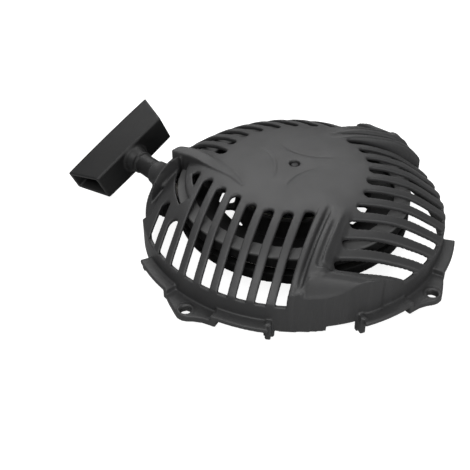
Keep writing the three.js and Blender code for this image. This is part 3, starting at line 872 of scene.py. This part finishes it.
def metal(name, dark, light, rough=(0.28, 0.5), scratch=0.25, level=0.9):
    material, nodes, links, shader, place, noise, spread = node_material(name)
    base = mix_colour(nodes, links, spread(noise(120, 5), 0, 1), dark, light)
    links.new(base, shader.inputs["Base Color"])
    links.new(spread(noise(420, 4), *rough), shader.inputs["Roughness"])
    shader.inputs["Metallic"].default_value = level
    bump = nodes.new("ShaderNodeBump")
    bump.inputs["Strength"].default_value = scratch
    bump.inputs["Distance"].default_value = 0.00008
    links.new(noise(1500, 3), bump.inputs["Height"])
    links.new(bump.outputs["Normal"], shader.inputs["Normal"])
    return material


def braid(name, dark, light):
    material, nodes, links, shader, place, noise, spread = node_material(name)
    base = mix_colour(nodes, links, spread(noise(900, 4), 0, 1), dark, light)
    links.new(base, shader.inputs["Base Color"])
    links.new(spread(noise(300, 3), 0.8, 0.98), shader.inputs["Roughness"])
    shader.inputs["Sheen Weight"].default_value = 0.4
    bump = nodes.new("ShaderNodeBump")
    bump.inputs["Strength"].default_value = 0.7
    bump.inputs["Distance"].default_value = 0.0003
    links.new(noise(2200, 4), bump.inputs["Height"])
    links.new(bump.outputs["Normal"], shader.inputs["Normal"])
    return material


HOUSING_PLASTIC = moulded_plastic("housing_plastic", (0.0185, 0.0185, 0.019), (0.0215, 0.0215, 0.022))
GRIP_PLASTIC = moulded_plastic("grip_plastic", (0.0035, 0.0035, 0.0036), (0.0058, 0.0058, 0.006),
                               shine=0.42)
# The pulley's near-black colour is partly its own dark plastic and partly painted shade of the housing's
# interior.
PULLEY_PLASTIC = moulded_plastic("pulley_plastic", (0.005, 0.005, 0.005), (0.008, 0.008, 0.008), (0.5, 0.65),
                                 shine=0.12)
# painted light: the pulley's top above 33.2 mm is coloured pale where light falls on it
painted_light_above(PULLEY_PLASTIC, 33.2, (0.075, 0.075, 0.075))
GUIDE_PLASTIC = moulded_plastic("guide_plastic", (0.02, 0.02, 0.021), (0.03, 0.03, 0.031))
DARK_SCREW = metal("dark_screw", (0.02, 0.02, 0.021), (0.035, 0.035, 0.036), (0.4, 0.55))
STEEL = metal("steel", (0.48, 0.48, 0.49), (0.62, 0.62, 0.63))
ZINC = metal("plated_steel", (0.52, 0.52, 0.48), (0.68, 0.67, 0.62), (0.3, 0.45))
SPRING = metal("spring_steel", (0.12, 0.13, 0.15), (0.22, 0.23, 0.26), (0.25, 0.42), 0.2)
ROPE = braid("rope", (0.34, 0.33, 0.30), (0.58, 0.56, 0.50))


def finish_piece(obj, material, body, slot_name, *nodes):
    obj.data.materials.clear()
    obj.data.materials.append(material)
    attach(obj, body)
    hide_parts(*nodes)
    return obj


finish_piece(housing_mesh(), HOUSING_PLASTIC, "housing", "housing_plastic", "starter_housing")
finish_piece(grip_mesh(), GRIP_PLASTIC, "handle", "housing_plastic", "grip")
finish_piece(pulley_mesh(), PULLEY_PLASTIC, "pulley", "pulley_plastic", "rope_pulley")
finish_piece(spring_mesh(), SPRING, "pulley", "spring_steel", "recoil_spring")
finish_piece(coil_mesh(), ROPE, "pulley", "rope", "rope_coil")
finish_piece(pulley_knot(), ROPE, "pulley", "rope", "rope_knot_pulley")
finish_piece(pawl_mesh("pawl_one", 0), ZINC, "pawl_a", "plated_steel", "pawl_a")
finish_piece(pawl_mesh("pawl_two", 180), ZINC, "pawl_b", "plated_steel", "pawl_b")
finish_piece(pawl_spring("hairpin_one", 0), SPRING, "pulley", "spring_steel", "pawl_spring_a")
finish_piece(pawl_spring("hairpin_two", 180), SPRING, "pulley", "spring_steel", "pawl_spring_b")
finish_piece(guide_mesh(), GUIDE_PLASTIC, "guide", "guide_plastic", "pawl_guide_plate")
finish_piece(brake_wire(), SPRING, "guide", "spring_steel", "brake_spring")
finish_piece(rounded_ring("thrust_ring", 8.3, 11.6, 20.3, 21.3), STEEL, "housing", "steel", "thrust_washer")
finish_piece(rounded_ring("friction_ring", 2.8, 12, 11.1, 12.2), STEEL, "housing", "steel", "friction_washer")
finish_piece(rounded_ring("flat_ring", 2.8, 9, 4.1, 5.2), STEEL, "housing", "steel", "flat_washer")
finish_piece(screw_mesh(), DARK_SCREW, "housing", "steel", "retaining_screw")
bush = lathe("outlet_eyelet", [(2.6, -14.6), (2.9, -15.3), (3.6, -15.8), (4.6, -15.85), (5.5, -15.6),
                               (6, -15), (6, -7.2), (5.8, -7), (2.8, -7), (2.6, -7.2)])
finish_piece(place_on_rope(bush), STEEL, "housing", "steel", "outlet_bush")
washer = rounded_ring("grip_ring", 2.3, 6, 2.8, 4)
washer.data.transform(Matrix.Rotation(rad(90), 4, "Y"))
finish_piece(on_grip(washer), STEEL, "rope_end", "steel", "grip_washer")
knot = knot_mesh("rope_knot_outer", 3.9)
knot.data.transform(Matrix.Translation((8.7 * MM, 0, 0)))
finish_piece(on_grip(knot), ROPE, "rope_end", "rope", "rope_knot_grip")

run = strand_mesh()
run.data.materials.append(ROPE)
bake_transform(run)
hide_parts("rope_strand")

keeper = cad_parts["spring_keeper"]
keeper.data.materials.clear()
keeper.data.materials.append(ZINC)


# ---- studio ----
def floor_piece():
    bpy.ops.mesh.primitive_plane_add(size=6, location=(0, 0, -0.0062))
    floor = bpy.context.object
    floor.name = "studio_floor"
    material = bpy.data.materials.new("floor")
    material.use_nodes = True
    nodes, links = material.node_tree.nodes, material.node_tree.links
    shader = nodes["Principled BSDF"]
    shader.inputs["Base Color"].default_value = (0.4, 0.4, 0.4, 1)
    shader.inputs["Roughness"].default_value = 0.9
    shader.inputs["Emission Color"].default_value = (1, 1, 1, 1)
    path = nodes.new("ShaderNodeLightPath")
    glow = nodes.new("ShaderNodeMath")
    glow.operation = "MULTIPLY"
    glow.inputs[1].default_value = 0.9
    links.new(path.outputs["Is Camera Ray"], glow.inputs[0])
    links.new(glow.outputs[0], shader.inputs["Emission Strength"])
    # seen from below the floor gives way, so the underside of the part can be looked at
    clear = nodes.new("ShaderNodeBsdfTransparent")
    mix = nodes.new("ShaderNodeMixShader")
    links.new(nodes.new("ShaderNodeNewGeometry").outputs["Backfacing"], mix.inputs[0])
    links.new(shader.outputs[0], mix.inputs[1])
    links.new(clear.outputs[0], mix.inputs[2])
    links.new(mix.outputs[0], nodes["Material Output"].inputs["Surface"])
    floor.data.materials.append(material)


def area_light(name, place, target, size, power):
    data = bpy.data.lights.new(name, "AREA")
    data.shape = "RECTANGLE"
    data.size, data.size_y = size
    data.energy = power
    light = bpy.data.objects.new(name, data)
    bpy.context.scene.collection.objects.link(light)
    light.location = place
    light.rotation_euler = (Vector(target) - Vector(place)).to_track_quat("-Z", "Y").to_euler()
    return light


def camera():
    data = bpy.data.cameras.new("camera")
    data.lens = 68.86
    data.sensor_width = 36
    obj = bpy.data.objects.new("camera", data)
    bpy.context.scene.collection.objects.link(obj)
    back = -Vector((-0.0627, 0.7821, -0.6200)).normalized()
    up = Vector((-0.0427, 0.6185, 0.7846))
    right = up.cross(back).normalized()
    up = back.cross(right).normalized()
    obj.matrix_world = Matrix((
        (right.x, up.x, back.x, 0.0), (right.y, up.y, back.y, -0.4509),
        (right.z, up.z, back.z, 0.3504), (0, 0, 0, 1)))
    bpy.context.scene.camera = obj


floor_piece()
camera()
world = bpy.data.worlds.new("studio")
bpy.context.scene.world = world
world.use_nodes = True
backdrop = world.node_tree.nodes["Background"]
backdrop.inputs[0].default_value = (1, 1, 1, 1)
seen = world.node_tree.nodes.new("ShaderNodeLightPath")
level = world.node_tree.nodes.new("ShaderNodeMapRange")
level.inputs["To Min"].default_value = 0.25
level.inputs["To Max"].default_value = 1.0
world.node_tree.links.new(seen.outputs["Is Camera Ray"], level.inputs["Value"])
world.node_tree.links.new(level.outputs["Result"], backdrop.inputs[1])
area_light("key", (-0.15, 0.75, 0.85), (0, 0, 0.02), (1.1, 0.5), 7.0)
area_light("top", (0.1, 0.1, 1.0), (0, 0, 0.02), (0.7, 0.7), 2.4)
area_light("front", (-0.3, -0.78, 1.0), (0, 0, 0.02), (0.7, 0.4), 9.6)
area_light("right", (0.6, -0.85, 0.3), (0, 0, 0.02), (0.4, 0.3), 4.6)
bpy.context.scene.view_settings.view_transform = "Standard"
